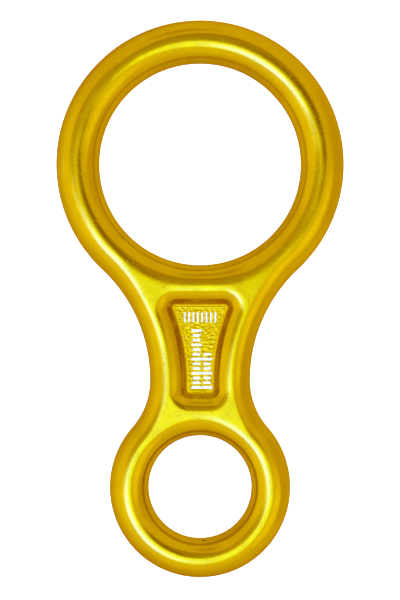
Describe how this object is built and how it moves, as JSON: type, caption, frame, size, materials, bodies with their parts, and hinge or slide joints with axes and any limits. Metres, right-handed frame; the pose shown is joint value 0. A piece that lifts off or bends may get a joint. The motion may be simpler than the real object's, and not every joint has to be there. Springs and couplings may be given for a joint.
{
  "type": "rope descender",
  "caption": "Figure-eight rope descender: a thick forged plate with a large rope eye, a small carabiner eye, a waisted neck and a shallow marked recess.",
  "frame": {"origin": "centre of the small eye, halfway through the plate", "axes": "+Z along the axis of both eyes, out of the face with the marks; +Y from the small eye to the large eye"},
  "size_m": [0.0714, 0.1382, 0.011],
  "materials": {
    "anodised_aluminium": "tumbled satin, anodised yellow",
    "white_marking": "matte printed layer"
  },
  "bodies": {
    "root": {"descender_body": "anodised_aluminium", "tick_row_print": "white_marking", "long_column_print": "white_marking", "short_column_print": "white_marking"}
  },
  "joints": []
}
